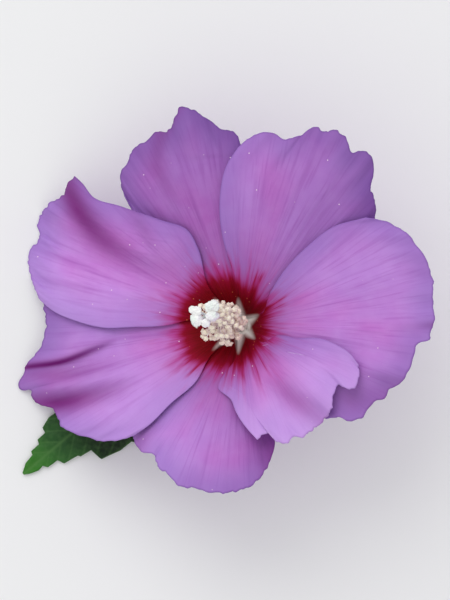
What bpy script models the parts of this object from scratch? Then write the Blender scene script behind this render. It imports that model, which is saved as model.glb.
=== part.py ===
"""Hibiscus flower (rose of Sharon), picked with one leaf and lying face up on a surface.

Lengths are in millimetres until they become mesh points, which are in metres. X and Y are the plan
as seen from above, and Z is the height above the surface. The flower leans towards -X: its two left
petals touch the surface, its throat stands over a short piece of twig, and the leaf lies underneath.
"""

import math
from collections import namedtuple

import bmesh
import bpy
import numpy as np
from mathutils import Matrix, Vector

MM = 0.001
SEAM = 0.000001

# Throat: the foot of the staminal column, where all petals are joined.
THROAT = Vector((4.75, -6.5, 12.0))
LEAN = (-0.35, 0.10)  # X and Y of the flower's unit axis
CLAW_RADIUS = 2.4  # the petal claws start on a ring of this plan radius
CLAW_CENTRE = (3.85, -6.25)  # on the flower's axis at the height of the ring
CLAW_GAP_DEG = 1.5  # kept free on each side of a claw

# Mean sheet of the corolla: a funnel that opens into a tilted, drooping dish.
FUNNEL_DEPTH = 11.0
FUNNEL_RADIUS = 9.0
SPREAD_SLOPE = 0.10
TILT_SLOPE = (0.38, -0.06)
CUP_SLOPE = 0.24  # the petals on the +Y and -Y sides rise more steeply
DROOP_FROM = 30.0
DROOP = 0.0125  # mm of drop for each mm2 of distance past DROOP_FROM

FOLD_POINTS = 10  # along each fold's crest

PETAL_THICKNESS = 0.5
PETAL_GRID = (18, 13)  # quads across and along a petal
ROW_CROWDING = 1.35  # above 1, rows crowd towards the throat, where the sheet bends most
REST_HEIGHT = 0.28  # a petal's mid-sheet comes no lower than this
REST_SOFTNESS = 0.5

# Overlaps: a margin that lies over its neighbour is raised and one that lies under is lowered.
THROAT_LIFT = 0.62
OVER_LIFT = 1.3
UNDER_LIFT = 0.9
LIFT_RADII = (9.0, 30.0)  # the lift grows from the first plan radius to the second

Fold = namedtuple("Fold", "crest right left")
# crest: (x, y, height) along the fold. right and left: how far its flanks reach on the two sides.

Petal = namedtuple("Petal", "name claw clockwise outer counter laps folds")
# claw: start and end angle at the throat. clockwise and counter: the two side margins, from the claw
# outwards. outer: the outer margin from the clockwise shoulder to the other. laps: +1 where that side
# lies over its neighbour and -1 where it lies under.

PETALS = [
    Petal(
        "petal_right",
        (-52, 41),
        [(12, -14), (18, -21), (22, -26)],
        [
            (25, -29.5), (27.7, -29), (31, -30), (34, -29), (35.2, -27.5), (37.5, -25), (39.3, -24.4),
            (41, -22.2), (43.3, -20.7), (45.7, -17.5), (46.6, -13.7), (48, -10.7), (50.3, -10),
            (51.3, -7), (52, -3.5), (51.4, 0), (51.7, 3), (50, 9.5), (45, 16.5), (40, 19.4), (35, 20.5),
        ],
        [(9, -3.8), (11.3, 1.8), (14.5, 7), (21.2, 14), (26.5, 18)],
        (-1, 1),
        [
            Fold([(33, -16, 0), (40, -18, 0.9), (44.5, -19, 1.4)], 1.6, 4.0),
            Fold([(22, -24, -0.5), (30, -25, -2.0), (40, -24, -2.4)], 5.0, 5.0),
        ],
    ),
    Petal(
        "petal_upper_right",
        (41, 96),
        [(11, -4), (15, -0.5), (20.5, 4), (27.5, 10), (34.5, 16)],
        [
            (37.3, 20.5), (37.2, 24.5), (36.1, 28), (37, 32.3), (34.8, 37), (31.6, 36.7), (29.8, 40.4),
            (27, 42.2), (24.6, 41.7), (23.2, 42.9), (18, 40.6), (14.5, 40), (10.8, 41.8), (6.5, 40.5),
            (3.5, 38.2),
        ],
        [(3.7, 0.3), (2, 7), (-0.7, 16.3), (-1.3, 25), (0.6, 33.8)],
        (-1, 1),
        [
            Fold([(30.5, 37, 1.4), (27, 29, 1.4), (24, 20, 0.4)], 6.0, 7.0),
            Fold([(12, 12, 0), (14, 26, -0.6), (15.5, 40, -1.4)], 4.0, 4.0),
        ],
    ),
    Petal(
        "petal_upper_left",
        (96, 136),
        [(5.2, 3), (6.2, 12), (6.6, 22), (6, 31)],
        [
            (3.6, 38.5), (2.8, 41.3), (-1.2, 42.8), (-5, 45.5), (-8.7, 47.7), (-11.3, 48), (-12.3, 45.7),
            (-14.3, 42.1), (-16.7, 42), (-20.3, 39.4), (-23.4, 37.2), (-23.8, 35.5), (-26, 32),
            (-25.9, 28.5), (-23.5, 22.8),
        ],
        [(-4.5, 1), (-10, 8), (-15.5, 13.5), (-20.5, 18)],
        (-1, -1),
        [Fold([(-7, 14, 0), (-11.5, 26, 0.8), (-15.2, 35, 1.9), (-13.6, 42, 2.8), (-11, 48, 3.0)], 9.0, 2.0)],
    ),
    Petal(
        "petal_left",
        (136, 180),
        [(-4.3, 3.8), (-6.6, 12.5), (-9.2, 17.3), (-16.2, 20), (-26.2, 23.5), (-33, 25.8), (-36, 29.5)],
        [
            (-37.8, 31.1), (-39.4, 29), (-40.5, 26.5), (-44.2, 24.2), (-47.2, 19), (-46.7, 15.8),
            (-49.4, 12), (-49.3, 7.5), (-48.2, 3.8), (-46.5, 0),
        ],
        [(-8.3, -5), (-15, -6.4), (-23.7, -6.8), (-30, -7), (-37.5, -5.2), (-43.2, -2.7)],
        (1, 1),
        [
            Fold([(-11, 7, 0), (-22, 12.8, 1.8), (-29.5, 18, 4.2), (-34.5, 24, 5.2), (-37.6, 31, 4.2)], 6.0, 3.0),
            Fold([(-13, 8, 0), (-16, 13, 0.9), (-20, 20.5, 1.1)], 4.0, 2.2),
            Fold([(-28, 8, 0), (-40, 12, -0.9), (-49, 15, -2.6)], 9.0, 9.0),
        ],
    ),
    Petal(
        "petal_lower_left",
        (180, 219),
        [(-8, -4), (-18, -3.5), (-28, -3), (-38, -1.2)],
        [
            (-45.7, -0.8), (-45, -6.5), (-47.2, -13.2), (-49.6, -15.8), (-51, -19), (-52, -21),
            (-51.2, -22.6), (-49, -22.7), (-48.2, -25.2), (-43, -27.7), (-40.7, -32), (-36.2, -33.8),
            (-30.5, -35.3), (-26, -34.8), (-23, -34),
        ],
        [(-4.3, -15), (-7, -20), (-13.7, -26), (-18.7, -31)],
        (-1, 1),
        [
            Fold([(-27, -9.2, 0), (-33, -11.5, 1.6), (-41, -14.6, 2.8), (-50, -16.0, 2.8)], 5.0, 1.2),
            Fold([(-20, -15.5, 0), (-30, -19.0, 1.6), (-41, -21.0, 2.6), (-51, -21.2, 1.6)], 2.6, 2.6),
            Fold([(-20, -19.5, 0), (-32, -23.6, -1.4), (-43, -26.0, -2.2), (-49, -26.0, -1.6)], 3.0, 3.0),
        ],
    ),
    Petal(
        "petal_bottom",
        (219, 260),
        [(-4.5, -13.5), (-9, -19), (-15, -25), (-20, -30.5)],
        [
            (-23, -34), (-21.3, -37.5), (-20, -38), (-18, -38.5), (-16.5, -41.8), (-13.5, -44),
            (-11.5, -46.4), (-8.7, -46.7), (-0.7, -48), (7.2, -45.6), (11.2, -40), (12.3, -36.5),
            (12, -33),
        ],
        [(4.6, -14), (7, -20), (10, -27)],
        (-1, -1),
        [
            Fold([(-20.5, -38, 1.2), (-18, -34, 1.0), (-14, -29, 0)], 4.0, 2.0),
            Fold([(4, -20, 0), (9, -30, -2.8), (13, -38, -5.0)], 5.0, 5.0),
        ],
    ),
    Petal(
        "petal_lower_right",
        (260, 308),
        [(2.2, -15.5), (0, -18.3), (-1.8, -21.7), (1.6, -25), (2.8, -28), (5.5, -32)],
        [
            (7.7, -34.7), (11, -32.8), (12, -34.3), (15.7, -35.2), (19.8, -33), (24.3, -30.7),
            (26.6, -26.5), (27.2, -22), (28.8, -21.2), (31.5, -22.3), (33.5, -18.2), (31.3, -13),
        ],
        [(9.6, -10.6), (13.2, -8.8), (18, -9.4), (23.7, -9.6), (28, -11.3)],
        (1, 1),
        [
            Fold([(17, -20, 0), (24, -24, 0.9), (29, -24.5, 0.9)], 2.5, 3.5),
            Fold([(10, -17, 0), (17, -24.3, -1.2), (22.5, -28.5, -1.6)], 2.5, 2.5),
            Fold([(3, -17, 0), (3.5, -23, 0.8), (7, -30, 0.6)], 2.0, 2.0),
        ],
    ),
]

COLOURS = {
    "petal": (0.45, 0.20, 0.60, 1),
    "cream": (0.80, 0.74, 0.60, 1),
    "stigma": (0.90, 0.90, 0.86, 1),
    "calyx": (0.16, 0.30, 0.08, 1),
    "bark": (0.22, 0.20, 0.12, 1),
    "leaf": (0.05, 0.13, 0.04, 1),
}

# Turned pieces on the flower's axis, as (distance from the throat, radius), foot first.
COLUMN = [(-4.0, 1.9), (-1.5, 1.7), (2.0, 1.38), (5.0, 1.2), (9.0, 1.25), (19.0, 1.15), (24.0, 0.95)]
STYLE_SOCKET = (21.5, 0.65)  # depth it reaches and radius, at the column's top

STAMENS = 110
STAMEN_SPAN = (9.9, 23.4)
STAMEN_REACH = [(0.0, 3.6), (0.3, 4.9), (0.7, 5.1), (1.0, 4.2)]  # share of the span, anther's radius
STAMEN_LENGTHS = (1.0, 0.78, 0.55)  # long, middling and short filaments take turns
STAMEN_SAG = 0.17  # filaments are longer on the -Y side and shorter on the +Y side by this share
STAMEN_RISE = 1.6  # filaments slant towards the tip by this much
FILAMENT_RADIUS = 0.2
ANTHER_RADIUS = 0.72
GOLDEN_ANGLE = math.pi * (3 - math.sqrt(5))

STYLE_RADIUS = 0.35
STYLE_FOOT = 21.8
STYLE_FORK = 25.4
STIGMAS = [
    (2.2, 28.2, -8, 1.45),
    (3.2, 29.0, 44, 1.75),
    (2.0, 29.8, 150, 1.25),
    (2.1, 28.6, 226, 1.4),
    (2.1, 28.0, 289, 1.3),
]  # distance from the axis, along it, angle about it, radius
STIGMA_RINGS = [(-0.85, 0.45), (-0.55, 0.83), (0.0, 1.0), (0.5, 0.87), (0.8, 0.6), (0.95, 0.3)]

CALYX_PROFILE = [(-8.9, 1.65), (-8.5, 3.2), (-7.2, 4.7), (-4.5, 5.7), (-1.0, 6.2), (2.0, 6.5), (3.6, 7.0)]
CALYX_LOBES = 5
LOBE_TIP = (5.2, 11.6)  # distance from the throat and radius
CALYX_THICKNESS = 0.7
CALYX_GRID = (40, 8)

BRACTLETS = 7
BRACTLET_PATH = [(-9.9, 1.5), (-9.9, 3.2), (-9.2, 5.6), (-7.0, 8.4), (-4.2, 10.6)]
BRACTLET_WIDTHS = [(0, 0.8), (0.4, 1.3), (0.8, 1.1), (1, 0.35)]  # share of the path and width
BRACTLET_THICKNESS = 0.5

# Stem pieces, as (x, y, z, radius).
TWIG = [
    (11.5, -29, 1.72, 1.7),
    (14, -21, 2.1, 1.65),
    (16, -14.5, 2.2, 1.75),
    (17.4, -10, 2.3, 2.2),
    (18.8, -6, 2.25, 1.7),
    (22, 2, 2.2, 1.6),
    (25, 9, 1.9, 1.5),
    (28, 16, 1.52, 1.45),
]
PEDICEL_TIP = [(-4.3, 2.0), (-5.2, 2.3), (-6.6, 1.9), (-8.2, 1.15), (-9.4, 1.0)]
PEDICEL_BEND = [(8.9, -7.7, 1.9, 1.0), (10.6, -8.1, 1.3, 1.05), (13, -8.6, 1.4, 1.1), (15.0, -9.15, 1.95, 1.25)]
PETIOLE = [
    (14.0, -12.7, 1.5, 0.9),
    (11, -13.6, 1.05, 0.8),
    (4, -14, 0.8, 0.7),
    (-4, -12.8, 0.8, 0.65),
    (-10, -11.4, 0.95, 0.6),
    (-16, -14.4, 0.95, 0.5),
    (-24, -21, 0.8, 0.4),
]

# The leaf's plan, measured along its midrib from the blade's base and across it.
LEAF_BASE = (-11.0, -10.4)
LEAF_TIP = (-50.8, -43.8)
LEAF_LENGTH = 52.0
LEAF_RIGHT = [
    (0, 0.6), (2.5, 4), (7, 7), (9, 10), (14, 11.5), (17.5, 15), (20.5, 14), (24, 14.5), (25.8, 11.5),
    (28.4, 11.8), (33, 10), (34.9, 9), (35.6, 6.2), (38.7, 5.2), (40.6, 5.3), (43, 4.4), (44.8, 2.8),
    (47, 1.5), (48.3, 1.9), (51, 0.9), (52, 0.25),
]
LEAF_LEFT = [
    (0, 0.6), (2.5, 4.5), (7, 8), (9.5, 11.5), (14, 12.5), (17.5, 16), (20.5, 15), (23.5, 15), (26, 11.5),
    (29, 11), (33, 8.2), (35.6, 6.5), (37.5, 5.6), (39.4, 6.4), (41.4, 4.9), (43.5, 4.6), (45, 3.2),
    (47, 3.0), (49, 1.6), (50.5, 1.5), (52, 0.25),
]
LEAF_THICKNESS = 0.35
LEAF_GRID = (8, 36)


def axis_frame():
    """Matrix that takes (sideways, away, along) of the flower's axis to the plan frame, in mm."""
    along = Vector((*LEAN, math.sqrt(1 - LEAN[0] ** 2 - LEAN[1] ** 2)))
    sideways = Vector((0, 1, 0)).cross(along).normalized()
    matrix = Matrix((sideways, along.cross(sideways), along)).transposed().to_4x4()
    matrix.translation = THROAT
    return matrix


def smoothstep(low, high, value):
    t = np.clip((value - low) / (high - low), 0, 1)
    return t * t * (3 - 2 * t)


def curve_through(points, count):
    """A smooth curve through the points, read at count even places or at the given shares."""
    points = np.array(points, float)
    steps = np.linalg.norm(np.diff(points, axis=0), axis=1)
    knots = np.concatenate(([0], np.cumsum(steps))) / steps.sum()
    tangents = np.gradient(points, knots, axis=0)
    where = np.linspace(0, 1, count) if np.isscalar(count) else np.asarray(count)
    i = np.clip(np.searchsorted(knots, where, side="right") - 1, 0, len(knots) - 2)
    width = (knots[i + 1] - knots[i])[:, None]
    t = ((where - knots[i]) / width[:, 0])[:, None]
    return (
        (2 * t**3 - 3 * t**2 + 1) * points[i]
        + (t**3 - 2 * t**2 + t) * width * tangents[i]
        + (3 * t**2 - 2 * t**3) * points[i + 1]
        + (t**3 - t**2) * width * tangents[i + 1]
    )


def claw_points(petal, u):
    """Plan points along a petal's base, on the ring round the column."""
    first, last = petal.claw[0] + CLAW_GAP_DEG, petal.claw[1] - CLAW_GAP_DEG
    angles = np.radians(first + (last - first) * u)
    ring = np.stack([np.cos(angles), np.sin(angles)], axis=-1) * CLAW_RADIUS
    return ring + np.array(CLAW_CENTRE)


def petal_plan(petal, u, v):
    """Plan points of a petal: a patch between its claw, its side margins and its outer margin."""
    corners = claw_points(petal, np.array([0.0, 1.0]))
    clockwise = curve_through([corners[0], *petal.clockwise, petal.outer[0]], v)[None, :, :]
    counter = curve_through([corners[1], *petal.counter, petal.outer[-1]], v)[None, :, :]
    claw = claw_points(petal, u)[:, None, :]
    outer = curve_through(petal.outer, u)[:, None, :]
    u, v = u[:, None, None], v[None, :, None]
    sides = (1 - u) * clockwise + u * counter
    ends = (1 - v) * claw + v * outer
    first, last = np.array(petal.outer[0]), np.array(petal.outer[-1])
    flat = (1 - u) * (1 - v) * corners[0] + u * (1 - v) * corners[1] + (1 - u) * v * first + u * v * last
    return sides + ends - flat


def corolla_height(x, y):
    """Height of the corolla's mean sheet over a plan point."""
    dx, dy = x - THROAT.x, y - THROAT.y
    radius = np.hypot(dx, dy)
    funnel = FUNNEL_DEPTH * np.tanh(radius / FUNNEL_RADIUS) + SPREAD_SLOPE * radius
    tilt = TILT_SLOPE[0] * dx + TILT_SLOPE[1] * dy
    cup = CUP_SLOPE * dy**2 / np.maximum(radius, 1)
    return THROAT.z + funnel + tilt + cup - DROOP * np.maximum(radius - DROOP_FROM, 0) ** 2


def corolla_steepness(x, y):
    """Vertical distance over the mean sheet that comes to one unit square to the sheet."""
    step = 0.1
    across = (corolla_height(x + step, y) - corolla_height(x - step, y)) / (2 * step)
    along = (corolla_height(x, y + step) - corolla_height(x, y - step)) / (2 * step)
    return np.sqrt(1 + across**2 + along**2)


def lap_height(petal, u, x, y):
    """How far a petal's sides are raised over, or lowered under, the petals beside it."""
    growth = smoothstep(*LIFT_RADII, np.hypot(x - THROAT.x, y - THROAT.y))
    total = 0
    for lap, share in zip(petal.laps, (1 - u, u)):
        lift = OVER_LIFT if lap > 0 else UNDER_LIFT
        total = total + lap * smoothstep(0.45, 0.75, share) * (THROAT_LIFT + lift * growth)
    return total * corolla_steepness(x, y)


def fold_height(fold, x, y):
    """Height of one fold: a crest with flanks of different reach on its two sides."""
    crest = curve_through(fold.crest, FOLD_POINTS)
    nearest = np.full(x.shape, np.inf)
    side, height = np.zeros(x.shape), np.zeros(x.shape)
    for a, b in zip(crest[:-1], crest[1:]):
        run = b[:2] - a[:2]
        px, py = x - a[0], y - a[1]
        t = np.clip((px * run[0] + py * run[1]) / (run @ run), 0, 1)
        apart = np.hypot(px - t * run[0], py - t * run[1])
        nearer = apart < nearest
        nearest = np.where(nearer, apart, nearest)
        left = (run[0] * py - run[1] * px) / (math.hypot(*run) * np.maximum(apart, 1e-6))
        side = np.where(nearer, left, side)
        height = np.where(nearer, a[2] + t * (b[2] - a[2]), height)
    reach = fold.right + (fold.left - fold.right) * smoothstep(-0.7, 0.7, side)
    return height * np.exp(-((nearest / reach) ** 2))


def petal_height(petal, u, x, y):
    """Height of a petal's mid-sheet over its plan points, kept off the surface that it rests on."""
    z = corolla_height(x, y) + lap_height(petal, u, x, y)
    for fold in petal.folds:
        z = z + fold_height(fold, x, y)
    return REST_HEIGHT + REST_SOFTNESS * np.logaddexp(0, (z - REST_HEIGHT) / REST_SOFTNESS)


def material(name):
    found = bpy.data.materials.get(name)
    if found:
        return found
    made = bpy.data.materials.new(name)
    made.use_nodes = True
    shader = made.node_tree.nodes["Principled BSDF"]
    shader.inputs["Base Color"].default_value = COLOURS[name]
    shader.inputs["Roughness"].default_value = 0.6
    return made


def add_mesh(name, mesh, finish):
    """A named object for a finished mesh, shaded smooth, in the flower's collection."""
    mesh.materials.append(material(finish))
    mesh.shade_smooth()
    obj = bpy.data.objects.new(name, mesh)
    bpy.data.collections["hibiscus_flower"].objects.link(obj)
    return obj


def sheet(name, points, thickness, finish):
    """A thin curved piece from a grid of mid-sheet points in mm, thickened to both sides."""
    across, along = points.shape[0] - 1, points.shape[1] - 1
    bm = bmesh.new()
    bmesh.ops.create_grid(bm, x_segments=across, y_segments=along, size=0.5)
    for vert in bm.verts:
        i, j = round((vert.co.x + 0.5) * across), round((vert.co.y + 0.5) * along)
        vert.co = Vector(points[i, j]) * MM
    bmesh.ops.remove_doubles(bm, verts=bm.verts, dist=SEAM)
    mesh = bpy.data.meshes.new(name)
    bm.to_mesh(mesh)
    bm.free()
    obj = add_mesh(name, mesh, finish)
    solid = obj.modifiers.new("thickness", "SOLIDIFY")
    solid.thickness = thickness * MM
    solid.offset = 0
    return obj


def tubes(name, paths, sides):
    """A mesh of closed round tubes, each from (x, y, z, radius) points in mm."""
    curve = bpy.data.curves.new(name, "CURVE")
    curve.dimensions = "3D"
    curve.bevel_depth = MM
    curve.bevel_resolution = sides // 2 - 2
    curve.use_fill_caps = True
    for path in paths:
        spline = curve.splines.new("POLY")
        spline.points.add(len(path) - 1)
        for point, (x, y, z, radius) in zip(spline.points, path):
            point.co = (x * MM, y * MM, z * MM, 1)
            point.radius = radius
    obj = bpy.data.objects.new(name, curve)
    mesh = bpy.data.meshes.new_from_object(obj)
    bpy.data.objects.remove(obj)
    bm = bmesh.new()
    bm.from_mesh(mesh)
    bmesh.ops.remove_doubles(bm, verts=bm.verts, dist=SEAM)
    bm.to_mesh(mesh)
    bm.free()
    return mesh


def add_tool(name, mesh):
    """A shape that only joins or cuts another one."""
    tool = bpy.data.objects.new(name, mesh)
    tool.hide_render = True
    tool.display_type = "WIRE"
    bpy.data.collections["tools"].objects.link(tool)
    return tool


def combine(obj, tool, operation):
    boolean = obj.modifiers.new(tool.name, "BOOLEAN")
    boolean.operation = operation
    boolean.object = tool
    boolean.solver = "EXACT"
    boolean.use_self = operation == "UNION"


def turned(profile, angle):
    """Plan-frame points of a profile of (along, radius) pairs, at one angle about the flower's axis."""
    turn = Vector((math.cos(angle), math.sin(angle), 0))
    return [axis_frame() @ (turn * radius + Vector((0, 0, along))) for along, radius in profile]


def on_axis(profile):
    """Tube points of a round shape about the flower's axis, from (along, radius) pairs."""
    return [(*(axis_frame() @ Vector((0, 0, along))), radius) for along, radius in profile]


def smooth_path(points, count):
    return [tuple(point) for point in curve_through(points, count)]


def add_petal(petal):
    u = np.linspace(0, 1, PETAL_GRID[0] + 1)
    v = np.linspace(0, 1, PETAL_GRID[1] + 1) ** ROW_CROWDING
    plan = petal_plan(petal, u, v)
    x, y = plan[..., 0], plan[..., 1]
    z = petal_height(petal, u[:, None], x, y)
    sheet(petal.name, np.stack([x, y, z], axis=-1), PETAL_THICKNESS, "petal")


def stamen_path(index):
    """One filament with its anther: a thin stalk from inside the column that ends in a club."""
    share = (index + 0.5) / STAMENS
    along = STAMEN_SPAN[0] + share * (STAMEN_SPAN[1] - STAMEN_SPAN[0])
    angle = index * GOLDEN_ANGLE
    length = STAMEN_LENGTHS[index % 3] * (1 - STAMEN_SAG * math.sin(angle))
    reach = length * np.interp(share, *zip(*STAMEN_REACH))
    stalk = [(0.7, FILAMENT_RADIUS), (reach - ANTHER_RADIUS, FILAMENT_RADIUS)]
    club = [(reach - 0.7 * ANTHER_RADIUS, 0.7 * ANTHER_RADIUS), (reach, ANTHER_RADIUS)]
    cap = [(reach + 0.7 * ANTHER_RADIUS, 0.7 * ANTHER_RADIUS), (reach + ANTHER_RADIUS, 0.2 * ANTHER_RADIUS)]
    path = stalk + club + cap
    rise = [(along - STAMEN_RISE * (1 - out / reach), out) for out, _ in path]
    places = turned(rise, angle)
    return [(*place, radius) for place, (_, radius) in zip(places, path)]


def add_column():
    column = add_mesh("staminal_column", tubes("column", [on_axis(COLUMN)], 12), "cream")
    stamens = tubes("stamens", [stamen_path(i) for i in range(STAMENS)], 6)
    combine(column, add_tool("stamens", stamens), "UNION")
    depth, radius = STYLE_SOCKET
    socket = tubes("socket", [on_axis([(depth, radius), (COLUMN[-1][0] + 1, radius)])], 8)
    combine(column, add_tool("style_socket", socket), "DIFFERENCE")


def stigma_path(reach, along, angle, radius):
    """One branch of the style, from its fork to the end of its round stigma."""
    fork = axis_frame() @ Vector((0, 0, STYLE_FORK - 0.4))
    centre = turned([(along, reach)], math.radians(angle))[0]
    ahead = (centre - fork).normalized()
    stalk = [(*fork, STYLE_RADIUS), (*(centre - ahead * radius), STYLE_RADIUS)]
    return stalk + [(*(centre + ahead * radius * step), radius * width) for step, width in STIGMA_RINGS]


def add_style():
    stem = tubes("style", [on_axis([(STYLE_FOOT, STYLE_RADIUS), (STYLE_FORK, STYLE_RADIUS + 0.1)])], 8)
    style = add_mesh("style", stem, "stigma")
    branches = tubes("branches", [stigma_path(*stigma) for stigma in STIGMAS], 10)
    combine(style, add_tool("style_branches", branches), "UNION")


def add_calyx():
    """A cup of fused sepals, open for the pedicel below, with pointed lobes that spread at the rim."""
    rows = curve_through(CALYX_PROFILE, CALYX_GRID[1] + 1)
    points = []
    for angle in np.linspace(0, 2 * math.pi, CALYX_GRID[0] + 1):
        lobe = 0.5 + 0.5 * math.cos(CALYX_LOBES * angle)
        shares = np.linspace(0, 1, len(rows)) ** 4 * lobe
        profile = rows + shares[:, None] * (np.array(LOBE_TIP) - rows[-1])
        points.append(turned(profile, angle))
    sheet("calyx", np.array(points), CALYX_THICKNESS, "calyx")


def add_bractlet(index):
    """One narrow leaflet of the ring below the calyx: it runs outwards and turns up to a point."""
    angle = 2 * math.pi * (index + 0.5) / BRACTLETS
    path = curve_through(BRACTLET_PATH, 8)
    widths = np.interp(np.linspace(0, 1, 8), *zip(*BRACTLET_WIDTHS)) / 2
    middle = np.array(turned(path, angle))
    sideways = np.array(turned([(0, 1)], angle + math.pi / 2)[0] - THROAT)
    points = [middle + side * widths[:, None] * sideways for side in (-1, 0, 1)]
    sheet(f"bractlet_{index + 1}", np.array(points), BRACTLET_THICKNESS, "calyx")


def leaf_point(s, t):
    """Plan point of the leaf, s along the midrib and t to the right of it, seen from the base."""
    base, tip = np.array(LEAF_BASE), np.array(LEAF_TIP)
    ahead = (tip - base) / np.linalg.norm(tip - base)
    right = np.array([-ahead[1], ahead[0]])
    return base + s[..., None] * ahead + t[..., None] * right


def leaf_height(s, t):
    """Height of the leaf's mid-sheet: it lies on its margins and is a little hollow on top."""
    arch = 0.75 * np.sin(np.pi * np.clip(s / LEAF_LENGTH, 0, 1))
    wave = 0.25 * np.sin(0.55 * s) * np.clip(np.abs(t) / 10, 0, 1)
    return 0.45 + arch - 0.10 * np.clip(np.abs(t), 0, 8) * arch + wave


def add_leaf():
    s = np.linspace(0, LEAF_LENGTH, LEAF_GRID[1] + 1)
    right = np.interp(s, *zip(*LEAF_RIGHT))
    left = np.interp(s, *zip(*LEAF_LEFT))
    share = np.linspace(-1, 1, LEAF_GRID[0] + 1)[:, None]
    t = np.where(share > 0, share * right, share * left)
    s = np.broadcast_to(s, t.shape)
    points = np.concatenate([leaf_point(s, t), leaf_height(s, t)[..., None]], axis=-1)
    leaf = sheet("leaf", points, LEAF_THICKNESS, "leaf")
    petiole = tubes("petiole", [smooth_path(PETIOLE, 16)], 8)
    combine(leaf, add_tool("petiole", petiole), "UNION")


def add_stems():
    add_mesh("twig", tubes("twig", [smooth_path(TWIG, 18)], 12), "bark")
    pedicel = on_axis(PEDICEL_TIP) + PEDICEL_BEND
    add_mesh("pedicel", tubes("pedicel", [smooth_path(pedicel, 22)], 10), "calyx")


def add_collections():
    for obj in list(bpy.data.objects):
        bpy.data.objects.remove(obj)
    for name in ("hibiscus_flower", "tools"):
        made = bpy.data.collections.new(name)
        bpy.context.scene.collection.children.link(made)


def main():
    add_collections()
    for petal in PETALS:
        add_petal(petal)
    add_column()
    add_style()
    add_calyx()
    for index in range(BRACTLETS):
        add_bractlet(index)
    add_leaf()
    add_stems()


main()
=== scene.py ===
"""Looks of the hibiscus flower: fine petals, stamens, stigmas, sepals, stems and leaf.

Shapes are worked out in millimetres in the frame's own axes and become metres in make_piece. The plan
outlines, the mean sheet of the corolla and the stem routes follow the CAD model. The petals are thinner
than there, so they lie closer together where they overlap, and their claws reach in to the column.
"""

import math
from collections import namedtuple

import bmesh
import bpy
import numpy as np
from mathutils import Matrix, Vector


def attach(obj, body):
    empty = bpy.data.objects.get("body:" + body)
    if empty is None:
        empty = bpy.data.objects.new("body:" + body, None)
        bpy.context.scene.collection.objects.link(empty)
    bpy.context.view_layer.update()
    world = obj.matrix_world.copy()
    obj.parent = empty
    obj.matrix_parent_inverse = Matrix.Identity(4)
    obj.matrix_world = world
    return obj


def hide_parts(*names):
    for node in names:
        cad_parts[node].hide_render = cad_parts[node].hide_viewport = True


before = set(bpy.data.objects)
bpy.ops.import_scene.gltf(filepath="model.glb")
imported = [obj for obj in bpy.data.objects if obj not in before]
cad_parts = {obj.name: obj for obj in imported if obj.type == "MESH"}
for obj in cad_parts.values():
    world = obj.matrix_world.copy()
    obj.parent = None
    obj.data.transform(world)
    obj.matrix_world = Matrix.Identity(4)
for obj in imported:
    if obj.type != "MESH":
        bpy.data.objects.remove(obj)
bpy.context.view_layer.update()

MM = 0.001

# --- The flower's frame and the corolla's mean sheet, as in the CAD model ---

THROAT = Vector((4.75, -6.5, 12.0))
LEAN = (-0.35, 0.10)  # sideways run of the flower's axis for each mm along it
CLAW_RADIUS = 1.75  # of the ring where the petals begin
CLAW_CENTRE = (3.85, -6.25)
CLAW_OVERLAP_DEG = 9.0

FUNNEL_DEPTH = 11.0
FUNNEL_RADIUS = 9.0
SPREAD_SLOPE = 0.10
TILT_SLOPE = (0.38, -0.06)
CUP_SLOPE = 0.24
DROOP_FROM = 30.0
DROOP = 0.0125
REST_HEIGHT = 0.28
REST_SOFTNESS = 0.5

# How far overlapping petals lie above or below the mean sheet, and the radii over which that grows.
THROAT_LIFT = 0.27
OVER_LIFT = 0.75
UNDER_LIFT = 0.4
LIFT_RADII = (7.0, 34.0)
LAP_SHARES = (0.45, 0.75)  # shares of a petal's width over which it rises to its lap

# --- Petals ---

PETAL_THICKNESS = 0.3
PETAL_GRID = (150, 110)
ROW_CROWDING = 1.35
FOLD_POINTS = 16
FAN_LENGTH = 30.0
EYE_CENTRE = (-0.5, -5.75)
EYE_RADIUS = 11.5
STAR_TIPS = [(3.3, 0.9), (8.7, -3.5), (7.7, -10.0), (3.3, -13.9), (-3.3, -12.8), (-2.9, 0.7)]
STAR_WIDTH = 0.7  # half width of a ray at the claws
STAR_DISC = (2.4, 3.1)  # radii between which the pale middle fades into the rays
SCALLOPS = (13, 22, 37), (0.15, 0.10, 0.05)  # waves across a petal, and their heights
PLEATS = (3, 5, 8, 13), (0.10, 0.08, 0.04, 0.02)
MARGIN_WAVES = (3, 5, 9, 14), (0.40, 0.30, 0.20, 0.10)
RAISED_VEINS = (19, 25, 31), (0.018, 0.016, 0.012)

Fold = namedtuple("Fold", "crest right left tint")
# crest: (x, y, height) along the fold. right and left: how far its flanks reach. tint: how deep
# the painted shade of its steep flank or trough is, a darker magenta in place of the fold's shade.

Petal = namedtuple("Petal", "name claw clockwise outer counter laps tone folds")
# claw: start and end angle at the throat. clockwise and counter: the two side margins, from the claw
# outwards. outer: the outer margin from the clockwise shoulder to the other. laps: +1 where that side
# lies over its neighbour and -1 where it lies under. tone: how deep the colour is at the claw
# and at the clockwise and counter ends of the outer margin, from -1 for the palest to 1 for the deepest;
# partly the petal's own colour, and partly painted shade where it turns from the light and painted light
# where it turns towards it.

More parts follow.
